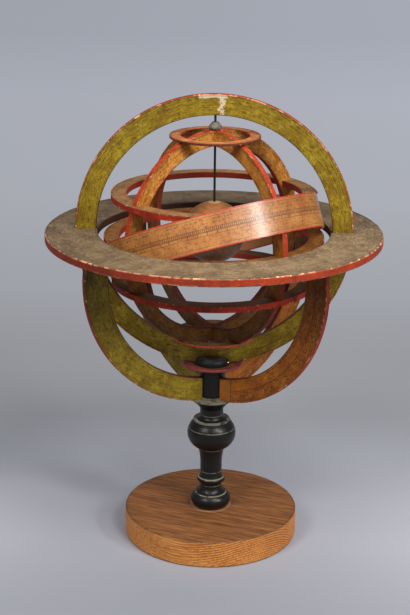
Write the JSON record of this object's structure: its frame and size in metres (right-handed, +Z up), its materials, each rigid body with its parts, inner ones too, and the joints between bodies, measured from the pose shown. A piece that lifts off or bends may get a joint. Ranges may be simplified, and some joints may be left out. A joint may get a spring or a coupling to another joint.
{
  "type": "armillary sphere",
  "caption": "Table armillary sphere of card rings round a small Earth ball, with a tilting meridian ring, a flat horizon ring on curved legs, a turned stem and a round wooden base.",
  "frame": {"origin": "middle of the base's underside", "axes": "+Z up through the stem, X in the plane of the meridian ring with +X at its right end, front of the object towards -Y"},
  "size_m": [0.2601, 0.26, 0.3596],
  "materials": {
    "oak": "oiled oak",
    "screw_steel": "plain",
    "black_wood": "black polish",
    "red_card": "painted card",
    "pin_brass": "bright",
    "horizon_paper": "worn printed paper, red edge",
    "orange_paper": "printed paper, red edge",
    "green_paper": "mottled green paper, red edge",
    "iron": "dark wire",
    "spacer_grey": "grey paint",
    "earth_paper": "paper on wood",
    "ochre_paper": "printed paper, red edge",
    "zodiac_paper": "printed paper, satin"
  },
  "bodies": {
    "stand": {"base_disc": "oak", "base_screw": "screw_steel", "stem": "black_wood", "collar_disc": "red_card", "slotted_cap": "black_wood", "cap_pin": "pin_brass", "horizon_ring": "horizon_paper", "leg_rear_right": "orange_paper", "leg_rear_left": "green_paper", "leg_front_left": "green_paper", "leg_front_right": "orange_paper"},
    "meridian": {"meridian_ring": "green_paper", "polar_wire": "iron", "lower_pivot": "iron", "upper_spacer": "spacer_grey", "lower_spacer": "spacer_grey", "earth_ball": "earth_paper"},
    "sphere": {"solstice_colure": "ochre_paper", "equinox_colure": "ochre_paper", "arctic_circle": "ochre_paper", "cancer_circle": "ochre_paper", "equator_circle": "ochre_paper", "capricorn_circle": "ochre_paper", "antarctic_circle": "red_card", "zodiac_band": "zodiac_paper"}
  },
  "joints": [
    {"name": "meridian_tilt", "type": "hinge", "parent": "stand", "child": "meridian", "pos_m": [0, 0, 0.25245], "axis": [0, 1, 0], "range_deg": [-60, 60]},
    {"name": "sphere_spin", "type": "hinge", "parent": "meridian", "child": "sphere", "pos_m": [0, 0, 0.24815], "axis": [0, 0, 1], "continuous": true}
  ]
}
